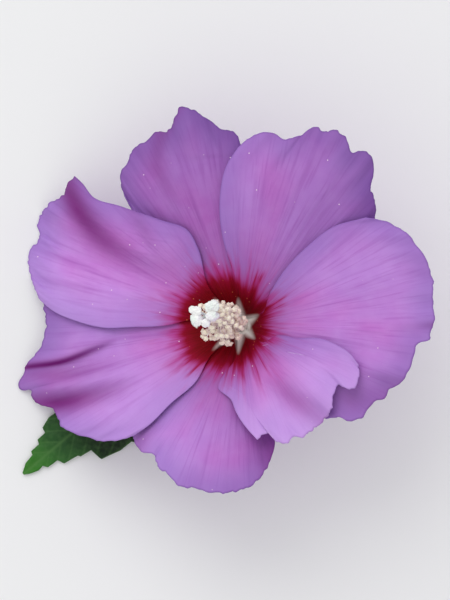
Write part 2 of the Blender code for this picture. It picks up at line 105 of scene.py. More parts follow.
PETALS = [
    Petal(
        "petal_right",
        (-52, 41),
        [(12, -14), (18, -21), (22, -26)],
        [
            (25, -29.5), (27.7, -29), (31, -30), (34, -29), (35.2, -27.5), (37.5, -25), (39.3, -24.4),
            (41, -22.2), (43.3, -20.7), (45.7, -17.5), (46.6, -13.7), (48, -10.7), (50.3, -10),
            (51.3, -7), (52, -3.5), (51.4, 0), (51.7, 3), (50, 9.5), (45, 16.5), (40, 19.4), (35, 20.5),
        ],
        [(9, -3.8), (11.3, 1.8), (14.5, 7), (21.2, 14), (26.5, 18)],
        (-1, 1),
        (0.0, 0.25, 0.2),
        [
            Fold([(33, -16, 0), (40, -18, 0.9), (44.5, -19, 1.4)], 1.6, 4.0, 0.3),
            Fold([(40, -6, 0), (47, -5.5, 0.5), (51.5, -5.2, 1.2)], 1.2, 3.0, 0.3),
            Fold([(22, -24, -0.5), (30, -25, -2.0), (40, -24, -2.4)], 5.0, 5.0, 0.35),
        ],
    ),
    Petal(
        "petal_upper_right",
        (41, 96),
        [(11, -4), (15, -0.5), (20.5, 4), (27.5, 10), (34.5, 16)],
        [
            (37.3, 20.5), (37.2, 24.5), (36.1, 28), (37, 32.3), (34.8, 37), (31.6, 36.7), (29.8, 40.4),
            (27, 42.2), (24.6, 41.7), (23.2, 42.9), (18, 40.6), (14.5, 40), (10.8, 41.8), (6.5, 40.5),
            (3.5, 38.2),
        ],
        [(3.7, 0.3), (2, 7), (-0.7, 16.3), (-1.3, 25), (0.6, 33.8)],
        (-1, 1),
        (0.3, 1.1, 0.15),
        [
            Fold([(30.5, 37, 1.4), (27, 29, 1.4), (24, 20, 0.4)], 6.0, 7.0, 0),
            Fold([(12, 12, 0), (14, 26, -0.6), (15.5, 40, -1.4)], 4.0, 4.0, 0),
        ],
    ),
    Petal(
        "petal_upper_left",
        (96, 136),
        [(5.2, 3), (6.2, 12), (6.6, 22), (6, 31)],
        [
            (3.6, 38.5), (2.8, 41.3), (-1.2, 42.8), (-5, 45.5), (-8.7, 47.7), (-11.3, 48), (-12.3, 45.7),
            (-14.3, 42.1), (-16.7, 42), (-20.3, 39.4), (-23.4, 37.2), (-23.8, 35.5), (-26, 32),
            (-25.9, 28.5), (-23.5, 22.8),
        ],
        [(-4.5, 1), (-10, 8), (-15.5, 13.5), (-20.5, 18)],
        (-1, -1),
        (0.35, 0.95, 0.5),
        [
            Fold(
                [(-7, 14, 0), (-11.5, 26, 0.8), (-15.2, 35, 1.9), (-13.6, 42, 2.8), (-11, 48, 3.0)],
                9.0, 2.0, 0.45,
            ),
        ],
    ),
    Petal(
        "petal_left",
        (136, 180),
        [(-4.3, 3.8), (-6.6, 12.5), (-9.2, 17.3), (-16.2, 20), (-26.2, 23.5), (-33, 25.8), (-36, 29.5)],
        [
            (-37.8, 31.1), (-39.4, 29), (-40.5, 26.5), (-44.2, 24.2), (-47.2, 19), (-46.7, 15.8),
            (-49.4, 12), (-49.3, 7.5), (-48.2, 3.8), (-46.5, 0),
        ],
        [(-8.3, -5), (-15, -6.4), (-23.7, -6.8), (-30, -7), (-37.5, -5.2), (-43.2, -2.7)],
        (1, 1),
        (0.0, 0.35, -0.3),
        [
            Fold(
                [(-11, 7, 0), (-22, 12.8, 1.8), (-29.5, 18, 4.2), (-34.5, 24, 5.2), (-37.6, 31, 4.2)],
                6.0, 3.0, 0.9,
            ),
            Fold([(-13, 8, 0), (-16, 13, 1.3), (-20, 20.5, 1.7)], 4.0, 2.0, 0.2),
            Fold([(-28, 8, 0), (-40, 12, -0.9), (-49, 15, -2.6)], 9.0, 9.0, 0),
        ],
    ),
    Petal(
        "petal_lower_left",
        (180, 219),
        [(-8, -4), (-18, -3.5), (-28, -3), (-38, -1.2)],
        [
            (-45.7, -0.8), (-45, -6.5), (-47.2, -13.2), (-49.6, -15.8), (-51, -19), (-52, -21),
            (-51.2, -22.6), (-49, -22.7), (-48.2, -25.2), (-43, -27.7), (-40.7, -32), (-36.2, -33.8),
            (-30.5, -35.3), (-26, -34.8), (-23, -34),
        ],
        [(-4.3, -15), (-7, -20), (-13.7, -26), (-18.7, -31)],
        (-1, 1),
        (-0.15, 0.55, -0.35),
        [
            Fold([(-27, -9.2, 0), (-33, -11.5, 1.6), (-41, -14.6, 2.6), (-50, -16, 2.4)], 5.0, 0.9, 1),
            Fold([(-20, -15.5, 0), (-30, -19, 1.6), (-41, -21, 2.6), (-51, -21.2, 1.6)], 2.4, 2.8, 0.45),
            Fold([(-20, -19.5, 0), (-32, -23.6, -1.4), (-43, -26, -2.2), (-49, -26, -1.6)], 2.6, 2.6, 0.9),
        ],
    ),
    Petal(
        "petal_bottom",
        (219, 260),
        [(-4.5, -13.5), (-9, -19), (-15, -25), (-20, -30.5)],
        [
            (-23, -34), (-21.3, -37.5), (-20, -38), (-18, -38.5), (-16.5, -41.8), (-13.5, -44),
            (-11.5, -46.4), (-8.7, -46.7), (-0.7, -48), (7.2, -45.6), (11.2, -40), (12.3, -36.5),
            (12, -33),
        ],
        [(4.6, -14), (7, -20), (10, -27)],
        (-1, -1),
        (0.55, -0.2, 0.7),
        [
            Fold([(-20.5, -38, 1.2), (-18, -34, 1.0), (-14, -29, 0)], 4.0, 2.0, 0.3),
            Fold([(4, -20, 0), (9, -30, -2.8), (13, -38, -5.0)], 5.0, 5.0, 0.6),
        ],
    ),
    Petal(
        "petal_lower_right",
        (260, 308),
        [(2.2, -15.5), (0, -18.3), (-1.8, -21.7), (1.6, -25), (2.8, -28), (5.5, -32)],
        [
            (7.9, -34.6), (11.2, -32.8), (12.5, -34.9), (15.5, -35.4), (16.9, -34.1), (19.2, -34),
            (20.6, -33), (22.9, -31.3), (24.8, -29.5), (26.6, -26.3), (26.8, -23.4), (28.2, -21.2),
            (31.2, -22.2), (33.3, -19), (33, -16),
        ],
        [(9.6, -10.6), (13.2, -8.8), (18, -9.4), (23.7, -9.6), (28, -11.3), (31, -13.3)],
        (1, 1),
        (0.5, -0.6, -0.45),
        [
            Fold([(17, -20, 0), (24, -24, 0.9), (29, -24.5, 0.9)], 2.5, 3.5, 0),
            Fold([(10, -17, 0), (17, -24.3, -1.0), (22.5, -28.5, -0.7)], 2.5, 2.5, 0.5),
            Fold([(3, -17, 0), (3.5, -23, 0.3), (7, -30, 0.2)], 1.3, 1.3, 0),
        ],
    ),
]


# --- Column, stamens and pistil ---

COLUMN = [
    (-4.0, 1.6), (-1.5, 1.6), (1.0, 1.65), (3.0, 1.6), (4.5, 1.5), (6.5, 1.35), (9.0, 1.25), (19.0, 1.15),
    (23.9, 0.95), (24.0, 0.0),
]
COLUMN_GRID = (60, 32)

STAMENS = 150
STAMEN_SPAN = (8.6, 23.4)
STAMEN_REACH = [(0.0, 3.7), (0.3, 4.9), (0.7, 5.1), (1.0, 4.2)]  # share of the span, anther's radius
STAMEN_LENGTHS = (1.0, 0.78, 0.55)  # long, middling and short filaments take turns
STAMEN_SAG = 0.17  # filaments are longer on the -Y side and shorter on the +Y side by this share
STAMEN_RISE = 1.6
FILAMENT_RADII = (0.16, 0.1)
ANTHER_BEND = 0.55  # radius of the arc that a kidney-shaped anther follows
ANTHER_RADIUS = 0.46
ANTHER_GRID = (9, 10)
POLLEN_GRAINS = 40
POLLEN_RADII = (0.07, 0.12)
GOLDEN_ANGLE = math.pi * (3 - math.sqrt(5))

STYLE_RADIUS = 0.35
STYLE_FOOT = 21.8
STYLE_FORK = 25.0
STIGMAS = [
    (2.2, 28.2, -6, 1.5),
    (3.1, 29.0, 42, 1.7),
    (2.1, 29.8, 155, 1.4),
    (2.2, 28.8, 215, 1.6),
    (2.0, 28.0, 284, 1.2),
]  # distance from the axis, along it, angle about it, radius
PAPILLAE = 110

# --- Calyx, bractlets and stems ---

CALYX_PROFILE = [(-8.9, 1.65), (-8.5, 3.2), (-7.2, 4.7), (-4.5, 5.7), (-1.0, 6.2), (2.0, 6.5), (3.6, 7.0)]
CALYX_LOBES = 5
LOBE_TIP = (5.2, 11.6)
CALYX_THICKNESS = 0.6
CALYX_GRID = (160, 40)

BRACTLETS = 7
BRACTLET_PATH = [(-9.9, 1.5), (-9.9, 3.2), (-9.2, 5.6), (-7.0, 8.4), (-4.2, 10.6)]
BRACTLET_WIDTHS = [(0, 0.8), (0.4, 1.3), (0.8, 1.1), (0.93, 0.7), (1, 0.2)]
BRACTLET_THICKNESS = 0.4
BRACTLET_GRID = (30, 6)

# Stem pieces, as (x, y, z, radius).
TWIG = [
    (11.5, -29, 1.72, 1.7),
    (14, -21, 2.1, 1.65),
    (16, -14.5, 2.2, 1.75),
    (17.4, -10, 2.3, 2.2),
    (18.8, -6, 2.25, 1.7),
    (22, 2, 2.2, 1.6),
    (25, 9, 1.9, 1.5),
    (28, 16, 1.52, 1.45),
]
TWIG_GRID = (200, 40)
PEDICEL_TIP = [(-4.3, 2.0), (-5.2, 2.3), (-6.6, 1.9), (-8.2, 1.15), (-9.4, 1.0)]
PEDICEL_BEND = [
    (8.9, -7.7, 1.9, 1.0), (10.6, -8.1, 1.3, 1.05), (13, -8.6, 1.4, 1.1), (15.0, -9.15, 1.95, 1.25),
]
PEDICEL_GRID = (90, 24)
PETIOLE = [
    (14.0, -12.7, 1.5, 0.9),
    (11, -13.6, 1.05, 0.8),
    (4, -14, 0.8, 0.7),
    (-4, -12.8, 0.8, 0.65),
    (-10, -11.4, 0.95, 0.6),
    (-16, -14.4, 0.95, 0.5),
    (-24, -21, 0.8, 0.4),
]
PETIOLE_GRID = (80, 18)

# --- Leaf: its plan, measured along the midrib from the blade's base and across it ---

LEAF_BASE = (-11.0, -10.4)
LEAF_TIP = (-50.8, -43.8)
LEAF_LENGTH = 52.0
LEAF_RIGHT = [
    (0, 0.6), (2.5, 4), (7, 7), (9, 10), (14, 11.5), (17.5, 15), (20.5, 14), (24, 14.5), (25.8, 11.3),
    (29.5, 11.2), (33, 10.2), (34.6, 9.8), (35, 6.4), (38.1, 5.9), (38.4, 5.3), (42.4, 4.6), (43.1, 2.9),
    (46.2, 2.7), (46.9, 1.6), (48.5, 1.8), (50.5, 1.1), (51.7, 0.4), (52, 0.25),
]
LEAF_LEFT = [
    (0, 0.6), (2.5, 4.5), (7, 8), (9.5, 11.5), (14, 12.5), (17.5, 16), (20.5, 15), (23.5, 15), (26, 11.5),
    (29, 11), (33, 8.2), (36, 6.6), (37.9, 6.8), (40.8, 5.8), (41.1, 4.4), (43.7, 4.3), (44.1, 3.2),
    (46.8, 3.1), (47.1, 2.2), (49.7, 1.7), (51.6, 0.5), (52, 0.25),
]
LEAF_THICKNESS = 0.3
LEAF_GRID = (70, 300)
SIDE_VEINS = (0.5, 2.5, 10, 17, 23.5, 29.5, 35, 39.5, 43.5)  # where they leave the midrib
SIDE_VEIN_SLOPE = 0.85  # across, for each mm along


def rgb(red, green, blue):
    """A linear colour, with alpha, from sRGB values out of 255."""
    value = np.array([red, green, blue]) / 255
    linear = np.where(value <= 0.04045, value / 12.92, ((value + 0.055) / 1.055) ** 2.4)
    return (*linear, 1)


# --- Geometry helpers ---


def axis_frame():
    """Matrix that takes (sideways, away, along) of the flower's axis to the row frame, in mm."""
    along = Vector((*LEAN, math.sqrt(1 - LEAN[0] ** 2 - LEAN[1] ** 2)))
    sideways = Vector((0, 1, 0)).cross(along).normalized()
    matrix = Matrix((sideways, along.cross(sideways), along)).transposed().to_4x4()
    matrix.translation = THROAT
    return matrix


def smoothstep(low, high, value):
    t = np.clip((value - low) / (high - low), 0, 1)
    return t * t * (3 - 2 * t)


def curve_through(points, count):
    """A smooth curve through the points, read at count even places or at the given shares."""
    points = np.array(points, float)
    steps = np.linalg.norm(np.diff(points, axis=0), axis=1)
    knots = np.concatenate(([0], np.cumsum(steps))) / steps.sum()
    tangents = np.gradient(points, knots, axis=0)
    where = np.linspace(0, 1, count) if np.isscalar(count) else np.asarray(count)
    i = np.clip(np.searchsorted(knots, where, side="right") - 1, 0, len(knots) - 2)
    width = (knots[i + 1] - knots[i])[:, None]
    t = (where - knots[i])[:, None] / width
    return (
        (2 * t**3 - 3 * t**2 + 1) * points[i]
        + (t**3 - 2 * t**2 + t) * width * tangents[i]
        + (3 * t**2 - 2 * t**3) * points[i + 1]
        + (t**3 - t**2) * width * tangents[i + 1]
    )


def waves(rng, phase, counts, sizes):
    """A sum of sine waves over phase, each with its own seeded shift."""
    return sum(size * np.sin(2 * np.pi * (n * phase + rng.random())) for n, size in zip(counts, sizes))


def make_piece(name, points, faces, attributes=None, uv=None):
    """A smooth-shaded object from points in mm, which rides on the flower's body."""
    faces = [face for group in (faces if isinstance(faces, list) else [faces]) for face in group.tolist()]
    mesh = bpy.data.meshes.new(name)
    mesh.from_pydata((np.reshape(points, (-1, 3)) * MM).tolist(), [], faces)
    for key, values in (attributes or {}).items():
        layer = mesh.attributes.new(key, "FLOAT", "POINT")
        layer.data.foreach_set("value", np.asarray(values, np.float32).ravel())
    if uv is not None:
        layer = mesh.uv_layers.new(name="UVMap")
        corners = np.empty(len(mesh.loops), int)
        mesh.loops.foreach_get("vertex_index", corners)
        layer.data.foreach_set("uv", np.asarray(uv, np.float32)[corners].ravel())
    mesh.shade_smooth()
    mesh.update()
    obj = bpy.data.objects.new(name, mesh)
    bpy.context.scene.collection.objects.link(obj)
    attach(obj, "root")
    return obj


def grid_faces(rows, columns, closed=False):
    """Quads of a grid of points stored row by row; a closed grid's last column meets its first."""
    i, j = np.meshgrid(np.arange(rows - 1), np.arange(columns - (not closed)), indexing="ij")
    here, ahead = i * columns + j, i * columns + (j + 1) % columns
    return np.stack([here, here + columns, ahead + columns, ahead], axis=-1).reshape(-1, 4)


def thicken(obj, thickness, back=None):
    """Thickness to both sides of a sheet, with another material on its back."""
    solid = obj.modifiers.new("thickness", "SOLIDIFY")
    solid.thickness = thickness * MM
    solid.offset = 0
    if back:
        obj.data.materials.append(back)
        solid.material_offset = 1


def finish(obj, material, node):
    obj.data.materials.append(material)
    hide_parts(node)


def axis_points(along, radius, angle):
    """Points along the flower's axis, at a radius and an angle about it."""
    along, radius, angle = np.broadcast_arrays(along, radius, angle)
    local = np.stack([radius * np.cos(angle), radius * np.sin(angle), along], axis=-1)
    matrix = np.array(axis_frame())
    return local @ matrix[:3, :3].T + matrix[:3, 3]


def unit(vectors):
    return vectors / np.linalg.norm(vectors, axis=-1, keepdims=True)


def swept(path, radii, sides):
    """Rings of points round a path; radii holds one radius a ring, or one a point."""
    path = np.asarray(path, float)
    along = unit(np.gradient(path, axis=0))
    helper = np.eye(3)[np.argmin(np.abs(path[-1] - path[0]))]
    across = unit(np.cross(along, helper))
    up = np.cross(across, along)
    angle = np.linspace(0, 2 * np.pi, sides, endpoint=False)[:, None]
    ring = np.cos(angle) * across[:, None] + np.sin(angle) * up[:, None]
    radii = np.broadcast_to(np.reshape(radii, (len(path), -1)), (len(path), sides))
    return path[:, None] + radii[..., None] * ring


def joined(shapes):
    """One list of points and one of faces from (points, faces) shapes."""
    points, faces, start = [], [], 0
    for shape_points, shape_faces in shapes:
        points.append(np.reshape(shape_points, (-1, 3)))
        faces.append(np.asarray(shape_faces) + start)
        start += len(points[-1])
    return np.concatenate(points), faces


def ball(subdivisions):
    """Points and triangles of a unit ball."""
    bm = bmesh.new()
    bmesh.ops.create_icosphere(bm, subdivisions=subdivisions, radius=1)
    points = np.array([vert.co[:] for vert in bm.verts])
    faces = np.array([[vert.index for vert in face.verts] for face in bm.faces])
    bm.free()
    return points, faces


# --- Petal shapes ---


def claw_points(petal, u):
    first, last = petal.claw[0] - CLAW_OVERLAP_DEG, petal.claw[1] + CLAW_OVERLAP_DEG
    angles = np.radians(first + (last - first) * u)
    ring = np.stack([np.cos(angles), np.sin(angles)], axis=-1) * CLAW_RADIUS
    return ring + np.array(CLAW_CENTRE)


def petal_plan(petal, u, v):
    """Plan points of a petal: a patch between its claw, its side margins and its outer margin."""
    corners = claw_points(petal, np.array([0.0, 1.0]))
    clockwise = curve_through([corners[0], *petal.clockwise, petal.outer[0]], v)[None, :, :]
    counter = curve_through([corners[1], *petal.counter, petal.outer[-1]], v)[None, :, :]
    claw = claw_points(petal, u)[:, None, :]
    outer = curve_through(petal.outer, u)[:, None, :]
    u, v = u[:, None, None], v[None, :, None]
    sides = (1 - u) * clockwise + u * counter
    ends = (1 - v) * claw + v * outer
    first, last = np.array(petal.outer[0]), np.array(petal.outer[-1])
    flat = (1 - u) * (1 - v) * corners[0] + u * (1 - v) * corners[1] + (1 - u) * v * first + u * v * last
    return sides + ends - flat


def corolla_height(x, y):
    dx, dy = x - THROAT.x, y - THROAT.y
    radius = np.hypot(dx, dy)
    funnel = FUNNEL_DEPTH * np.tanh(radius / FUNNEL_RADIUS) + SPREAD_SLOPE * radius
    tilt = TILT_SLOPE[0] * dx + TILT_SLOPE[1] * dy
    cup = CUP_SLOPE * dy**2 / np.maximum(radius, 1)
    return THROAT.z + funnel + tilt + cup - DROOP * np.maximum(radius - DROOP_FROM, 0) ** 2


def corolla_steepness(x, y):
    step = 0.1
    across = (corolla_height(x + step, y) - corolla_height(x - step, y)) / (2 * step)
    along = (corolla_height(x, y + step) - corolla_height(x, y - step)) / (2 * step)
    return np.sqrt(1 + across**2 + along**2)


def lap_height(petal, u, x, y):
    growth = smoothstep(*LIFT_RADII, np.hypot(x - THROAT.x, y - THROAT.y))
    total = 0
    for lap, share in zip(petal.laps, (1 - u, u)):
        lift = OVER_LIFT if lap > 0 else UNDER_LIFT
        total = total + lap * smoothstep(*LAP_SHARES, share) * (THROAT_LIFT + lift * growth)
    return total * corolla_steepness(x, y)


def fold_position(fold, x, y):
    """Distance from a fold's crest, side of it (-1 right, 1 left) and the crest's height there."""
    crest = curve_through(fold.crest, FOLD_POINTS)
    nearest = np.full(x.shape, np.inf)
    side, height = np.zeros(x.shape), np.zeros(x.shape)
    for a, b in zip(crest[:-1], crest[1:]):
        run = b[:2] - a[:2]
        px, py = x - a[0], y - a[1]
        t = np.clip((px * run[0] + py * run[1]) / (run @ run), 0, 1)
        apart = np.hypot(px - t * run[0], py - t * run[1])
        nearer = apart < nearest
        nearest = np.where(nearer, apart, nearest)
        left = (run[0] * py - run[1] * px) / (math.hypot(*run) * np.maximum(apart, 1e-6))
        side = np.where(nearer, left, side)
        height = np.where(nearer, a[2] + t * (b[2] - a[2]), height)
    return nearest, side, height


def fold_height(fold, x, y):
    """Height of one fold: a crest with flanks of different reach on its two sides."""
    nearest, side, height = fold_position(fold, x, y)
    reach = fold.right + (fold.left - fold.right) * smoothstep(-0.7, 0.7, side)
    return height * np.exp(-((nearest / reach) ** 2))


def scalloped(plan, v, rng):
    """The plan with small irregular scallops along the outer margin."""
    share = np.linspace(0, 1, plan.shape[0])
    phase = share + 0.02 * waves(rng, share, (2, 5), (1, 0.6))
    size = waves(rng, phase, *SCALLOPS)
    outward = plan[:, -1] - plan[:, -8]
    outward /= np.linalg.norm(outward, axis=1)[:, None]
    return plan + (outward * size[:, None])[:, None, :] * smoothstep(0.88, 1, v)[None, :, None]


def pleats(u, v, rng):
    """Fine lengthwise relief of a petal, and the waves of its outer margin."""
    drift = u + 0.02 * np.sin(2 * np.pi * (1.3 * v + rng.random()))
    lengthwise = waves(rng, drift, *PLEATS)
    margin = waves(rng, drift, *MARGIN_WAVES)
    veins = waves(rng, u + 0.004 * np.sin(2 * np.pi * (4 * v + 3 * u)), *RAISED_VEINS)
    relief = lengthwise * smoothstep(0.05, 0.6, v) + veins * smoothstep(0.2, 0.6, v)
    return relief + margin * smoothstep(0.72, 1, v) ** 1.5


def petal_height(petal, u, v, x, y, rng):
    z = corolla_height(x, y) + lap_height(petal, u, x, y) + pleats(u, v, rng)
    for fold in petal.folds:
        z = z + fold_height(fold, x, y)
    return REST_HEIGHT + REST_SOFTNESS * np.logaddexp(0, (z - REST_HEIGHT) / REST_SOFTNESS)


def crease_shade_amount(petal, x, y):
    """How deep the painted shade of the petal's creases is: on a ridge's steep flank, or along a trough."""
    amount = np.zeros(x.shape)
    for fold in petal.folds:
        nearest, side, height = fold_position(fold, x, y)
        peak = max(abs(point[2]) for point in fold.crest)
        reach = min(fold.left, fold.right)
        steep_side = 1 if fold.left <= fold.right else -1
        offset = 0.9 * reach * (height > 0)
        apart = (nearest * side * steep_side - offset) / (1.1 * reach)
        amount = np.maximum(amount, fold.tint * np.abs(height) / peak * np.exp(-(apart**2)))
    return amount


def rim_distance(plan):
    """Distance in plan from each grid point to the petal's side and outer margins."""
    rim = np.concatenate([plan[0, 20:], plan[:, -1], plan[-1, 20:]])
    return np.stack([np.hypot(plan[..., 0] - x, plan[..., 1] - y) for x, y in rim]).min(axis=0)


def star_amount(x, y):
    """1 on the pale rays along the petal claws, which taper away from the throat."""
    foot = np.array(CLAW_CENTRE)
    amount = 1 - smoothstep(*STAR_DISC, np.hypot(x - foot[0], y - foot[1]))
    for tip in STAR_TIPS:
        run = np.array(tip) - foot
        px, py = x - foot[0], y - foot[1]
        t = np.clip((px * run[0] + py * run[1]) / (run @ run), 0, 1)
        apart = np.hypot(px - t * run[0], py - t * run[1])
        start = STAR_DISC[0] / math.hypot(*run)
        reach = np.clip((t - start) / (1 - start), 0, 1)
        width = STAR_WIDTH * (1 - reach) + 0.2
        amount = np.maximum(amount, (1 - smoothstep(0, 2.3, apart / width)) * (1 - reach**2))
    return amount


def petal_tone_and_shade(petal, u, v):
    """How deep the colour is, partly the petal's own and partly painted shade and light: the claw's value,
    which turns into those of the margin's two ends.
    """
    claw, clockwise, counter = petal.tone
    return claw + v * (clockwise + (counter - clockwise) * u - claw)


def fan_position(petal, index, x, y):
    """Turn about the claws from the petal's middle, and distance from them, as texture positions."""
    dx, dy = x - CLAW_CENTRE[0], y - CLAW_CENTRE[1]
    middle = math.radians(sum(petal.claw) / 2)
    turn = np.remainder(np.arctan2(dy, dx) - middle + np.pi, 2 * np.pi) - np.pi
    return np.stack([turn + 10 * index, np.hypot(dx, dy) / FAN_LENGTH], axis=-1)


def add_petal(index, petal, material, back):
    rng = np.random.default_rng(100 + index)
    u = np.linspace(0, 1, PETAL_GRID[0] + 1)
    v = np.linspace(0, 1, PETAL_GRID[1] + 1) ** ROW_CROWDING
    plan = scalloped(petal_plan(petal, u, v), v, rng)
    x, y = plan[..., 0], plan[..., 1]
    fan = fan_position(petal, index, x, y)
    z = petal_height(petal, u[:, None], v[None, :], x, y, rng)
    points = np.stack([x, y, z], axis=-1)
    attributes = {
        "eye": np.hypot(x - EYE_CENTRE[0], y - EYE_CENTRE[1]) - EYE_RADIUS,
        "rim": rim_distance(plan),
        "star": star_amount(x, y),
        "crease_shade": crease_shade_amount(petal, x, y),
        "tone": petal_tone_and_shade(petal, u[:, None], v[None, :]),
    }
    name = petal.name.replace("petal", "petal_skin")
    obj = make_piece(name, points, grid_faces(*z.shape)[:, ::-1], attributes, fan.reshape(-1, 2))
    finish(obj, material, petal.name)
    thicken(obj, PETAL_THICKNESS, back)


# --- Column and pistil shapes ---


def anther_body(rng):
    """Points of a kidney-shaped anther whose back follows an arc, in (across, deep, outward) axes."""
    arc = np.linspace(-1.2, 1.2, ANTHER_GRID[0])[:, None]
    turn = np.linspace(0, 2 * np.pi, ANTHER_GRID[1], endpoint=False)[None, :]
    groove = 1 - 0.25 * np.exp(-(((np.remainder(turn + np.pi, 2 * np.pi) - np.pi) / 0.5) ** 2))
    radius = ANTHER_RADIUS * np.sqrt(1 - (arc / 1.22) ** 2) * groove * rng.uniform(0.9, 1.1, arc.shape)
    out = ANTHER_BEND + radius * np.cos(turn)
    points = [out * np.sin(arc), radius * np.sin(turn), out * np.cos(arc) - 0.5 * ANTHER_BEND]
    return np.stack(points, axis=-1)


def pollen_grains(rng):
    """Balls of pollen over the open face of an anther."""
    grain, faces = ball(1)
    grains = []
    for _ in range(POLLEN_GRAINS):
        arc, turn = rng.uniform(-1.25, 1.25), rng.uniform(-2.2, 2.2)
        radius = ANTHER_RADIUS * math.sqrt(max(1 - (arc / 1.4) ** 2, 0))
        out = ANTHER_BEND + radius * math.cos(turn)
        place = [out * math.sin(arc), radius * math.sin(turn), out * math.cos(arc) - 0.5 * ANTHER_BEND]
        grains.append((grain * rng.uniform(*POLLEN_RADII) + place, faces))
    return joined(grains)


def add_stamens(materials):
    """The column with its stamens: curved filaments that end in anthers covered with pollen."""
    rng = np.random.default_rng(7)
    profile = curve_through(COLUMN, COLUMN_GRID[0])
    around = np.linspace(0, 2 * np.pi, COLUMN_GRID[1], endpoint=False)
    ribs = 1 + 0.04 * np.cos(5 * around) + 0.015 * np.cos(16 * around)
    radii = np.maximum(profile[:, 1:], 0) * ribs
    column = (axis_points(profile[:, :1], radii, around), grid_faces(*COLUMN_GRID, True)[:, ::-1])
    axis = np.array(axis_frame())[:3, 2]
    stalks, bodies, pollen, blush = [column], [], [], []
    for index in range(STAMENS):
        share = (index + 0.5) / STAMENS
        along = STAMEN_SPAN[0] + share * (STAMEN_SPAN[1] - STAMEN_SPAN[0]) + rng.uniform(-0.5, 0.5)
        angle = index * GOLDEN_ANGLE + rng.uniform(-0.2, 0.2)
        length = STAMEN_LENGTHS[index % 3] * (1 - STAMEN_SAG * math.sin(angle))
        reach = length * np.interp(share, *zip(*STAMEN_REACH)) + rng.uniform(-0.4, 0.3)
        out = np.linspace(0.9, reach, 7)
        climb = along - STAMEN_RISE * (1 - (out / reach) ** 2)
        path = axis_points(climb, out, angle + 0.08 * np.sin(out))
        radii = np.linspace(*FILAMENT_RADII, 7)
        stalks.append((swept(path, radii, 6), grid_faces(7, 6, True)))
        outward = unit(path[-1] - path[-2])
        across = unit(np.cross(outward, axis + rng.normal(0, 0.8, 3)))
        basis = np.stack([across, np.cross(outward, across), outward])
        size = rng.uniform(0.9, 1.15)
        bodies.append((size * anther_body(rng) @ basis + path[-1], grid_faces(*ANTHER_GRID, True)))
        points, faces = pollen_grains(rng)
        pollen.append((size * points @ basis + path[-1], np.concatenate(faces)))
        blush.append(np.clip(1 - 1.6 * share + rng.normal(0, 0.25), 0, 1))
    for name, shapes, material in zip(("stalks", "anthers", "pollen"), (stalks, bodies, pollen), materials):
        points, faces = joined(shapes)
        sizes = [len(np.reshape(shape[0], (-1, 3))) for shape in shapes]
        tones = [0.5] * (len(shapes) - STAMENS) + blush
        obj = make_piece(f"stamen_{name}", points, faces, {"blush": np.repeat(tones, sizes)})
        finish(obj, material, "staminal_column")


def stigma_head(rng, centre, size):
    """A round stigma covered with blunt papillae."""
    directions, faces = ball(5)
    bumps = unit(rng.normal(size=(PAPILLAE, 3)))
    apart = np.arccos(np.clip((directions @ bumps.T).max(axis=1), -1, 1))
    lumps = sum(np.sin(directions @ rng.normal(0, 2.8, 3) + rng.uniform(0, 6)) for _ in range(4))
    radius = size * (0.93 + 0.07 * lumps + 0.17 * np.exp(-((apart / 0.13) ** 2)))
    return directions * radius[:, None] * rng.uniform(0.82, 1.15, 3) + centre, faces


def add_pistil(material):
    """The style, which forks into five branches with a round stigma on each."""
    rng = np.random.default_rng(8)
    stem = axis_points(np.linspace(STYLE_FOOT, STYLE_FORK, 12), 0, 0)
    shapes = [(swept(stem, np.full(12, STYLE_RADIUS), 16), grid_faces(12, 16, True))]
    heads = []
    for reach, along, angle, size in STIGMAS:
        out = np.linspace(0, 1, 14)
        climb = STYLE_FORK - 0.3 + (along - STYLE_FORK + 0.3) * out
        path = axis_points(climb, reach * out**1.3, math.radians(angle))
        shapes.append((swept(path, 0.3 + 0.12 * out, 12), grid_faces(14, 12, True)))
        heads.append(stigma_head(rng, path[-1], size))
    for name, group in (("branches", shapes), ("stigmas", heads)):
        finish(make_piece(f"pistil_{name}", *joined(group)), material, "style")


# --- Green parts ---


def add_calyx(material):
    """A ribbed cup of fused sepals with pointed lobes that spread at the rim."""
    rng = np.random.default_rng(9)
    share = np.linspace(0, 1, CALYX_GRID[1])
    rows = curve_through(CALYX_PROFILE, CALYX_GRID[1])
    angle = np.linspace(0, 2 * np.pi, CALYX_GRID[0], endpoint=False)[:, None]
    uneven = 1 + 0.05 * waves(rng, angle / 2 / np.pi, (3, 4), (1, 1))
    lobe = (0.5 + 0.5 * np.cos(CALYX_LOBES * angle)) * uneven
    spread = share**4 * lobe
    along = rows[:, 0] + spread * (LOBE_TIP[0] - rows[-1, 0])
    rib = np.cos(CALYX_LOBES * angle) + 0.6 * np.cos(3 * CALYX_LOBES * angle) + 0.3 * np.cos(35 * angle)
    radius = rows[:, 1] + spread * (LOBE_TIP[1] - rows[-1, 1]) + 0.07 * rib * np.sin(np.pi * share)
    vein = smoothstep(0.55, 1.9, rib) * np.ones_like(share)
    points = np.swapaxes(axis_points(along, radius, angle), 0, 1)
    attributes = {"vein": vein.T, "reach": (share + 0 * angle).T}
    faces = grid_faces(CALYX_GRID[1], CALYX_GRID[0], True)[:, ::-1]
    obj = make_piece("calyx_cup", points, faces, attributes)
    finish(obj, material, "calyx")
    thicken(obj, CALYX_THICKNESS)


